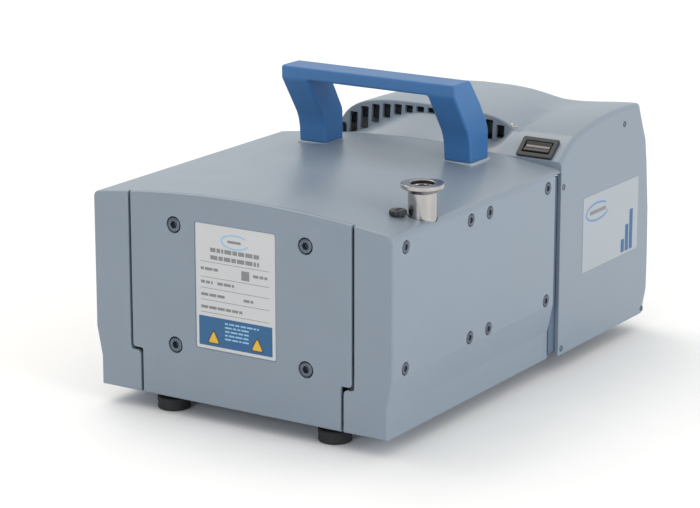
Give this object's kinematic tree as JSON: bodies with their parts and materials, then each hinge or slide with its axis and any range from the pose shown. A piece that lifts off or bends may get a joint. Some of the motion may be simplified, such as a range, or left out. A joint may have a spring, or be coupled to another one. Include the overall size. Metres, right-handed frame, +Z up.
{
  "type": "rotary vane vacuum pump",
  "caption": "Bench vacuum pump in a long box casing with an arched deck, leaning carry handle, domed slotted motor hood, top inlet flange and rear exhaust flange.",
  "frame": {"origin": "on the ground plane under the feet, at the middle of the whole pump's bounding box", "axes": "+Y runs along the shaft from the front cover to the motor hood, +X points to the side with the inlet flange and the switch, +Z is up"},
  "size_m": [0.257, 0.404, 0.225],
  "materials": {
    "paint": "satin blue-grey paint with a fine orange-peel texture",
    "paint_shadow": "satin slate paint in the recess and below",
    "handle_blue": "fine-grained moulded plastic",
    "stainless": "turned and brushed stainless steel",
    "screw_steel": "dark zinc-plated steel",
    "cast_iron": "machined grey iron",
    "aluminium": "cast and machined aluminium",
    "rubber": "moulded black rubber",
    "black_plastic": "fine-grained black plastic",
    "vane_composite": "pressed fibre composite",
    "winding": "varnished laminated core and copper winding",
    "sight_glass": "clear glass over pale oil",
    "filter_paper": "pleated fibre filter"
  },
  "bodies": {
    "housing": {"main_casing": "paint", "front_cover": "paint", "base_plate": "paint_shadow", "rear_bulkhead": "paint_shadow", "rear_hood": "paint", "air_intake_grille": "black_plastic", "air_outlet_grille": "black_plastic", "carry_handle": "handle_blue", "foot_front_left": "rubber", "foot_front_right": "rubber", "foot_rear_left": "rubber", "foot_rear_right": "rubber", "inlet_flange": "stainless", "exhaust_flange": "stainless", "inlet_pipe": "stainless", "exhaust_pipe": "stainless", "front_screw_1": "screw_steel", "front_screw_2": "screw_steel", "front_screw_3": "screw_steel", "front_screw_4": "screw_steel", "side_screw_1": "screw_steel", "side_screw_2": "screw_steel", "side_screw_3": "screw_steel", "side_screw_4": "screw_steel", "side_screw_5": "screw_steel", "side_screw_6": "screw_steel", "side_screw_7": "screw_steel", "side_screw_8": "screw_steel", "switch_frame": "stainless", "power_inlet": "black_plastic", "oil_sight_glass": "sight_glass", "oil_fill_plug": "black_plastic", "oil_drain_plug": "stainless", "oil_case": "aluminium", "oil_case_lid": "aluminium", "front_end_plate": "cast_iron", "middle_plate": "cast_iron", "rear_end_plate": "cast_iron", "shaft_seal": "rubber", "stage_1_stator": "cast_iron", "stage_2_stator": "cast_iron", "oil_mist_filter": "filter_paper", "motor_housing": "aluminium", "motor_stator": "winding", "run_capacitor": "aluminium"},
    "shaft": {"pump_shaft": "screw_steel", "stage_1_rotor": "screw_steel", "stage_2_rotor": "screw_steel", "coupling_hub_pump": "cast_iron", "coupling_spider": "rubber", "coupling_hub_motor": "cast_iron", "motor_rotor": "screw_steel", "cooling_fan": "black_plastic"},
    "stage_1_left_vane": {"stage_1_vane_left": "vane_composite"},
    "stage_1_right_vane": {"stage_1_vane_right": "vane_composite"},
    "stage_2_left_vane": {"stage_2_vane_left": "vane_composite"},
    "stage_2_right_vane": {"stage_2_vane_right": "vane_composite"},
    "rocker": {"switch_rocker": "black_plastic"},
    "ballast_valve": {"gas_ballast_knob": "black_plastic"},
    "outlet_valve": {"exhaust_valve": "screw_steel"}
  },
  "joints": [
    {"name": "shaft_spin", "type": "hinge", "parent": "housing", "child": "shaft", "pos_m": [0, 0, 0.095], "axis": [0, 1, 0], "continuous": true},
    {"name": "stage_1_left_slide", "type": "slide", "parent": "shaft", "child": "stage_1_left_vane", "axis": [-1, 0, 0], "range_m": [0, 0.0036]},
    {"name": "stage_1_right_slide", "type": "slide", "parent": "shaft", "child": "stage_1_right_vane", "axis": [1, 0, 0], "range_m": [0, 0.0036]},
    {"name": "stage_2_left_slide", "type": "slide", "parent": "shaft", "child": "stage_2_left_vane", "axis": [-1, 0, 0], "range_m": [0, 0.0036]},
    {"name": "stage_2_right_slide", "type": "slide", "parent": "shaft", "child": "stage_2_right_vane", "axis": [1, 0, 0], "range_m": [0, 0.0036]},
    {"name": "switch_tilt", "type": "hinge", "parent": "housing", "child": "rocker", "pos_m": [0.101, 0.04189, 0.16664], "axis": [1, 0, 0], "range_deg": [0, 12]},
    {"name": "ballast_turn", "type": "hinge", "parent": "housing", "child": "ballast_valve", "pos_m": [0.102, -0.1585, 0.162], "axis": [0, 0, 1], "range_deg": [0, 90]},
    {"name": "outlet_valve_lift", "type": "slide", "parent": "housing", "child": "outlet_valve", "axis": [0, 0, 1], "range_m": [0, 0.002]}
  ]
}
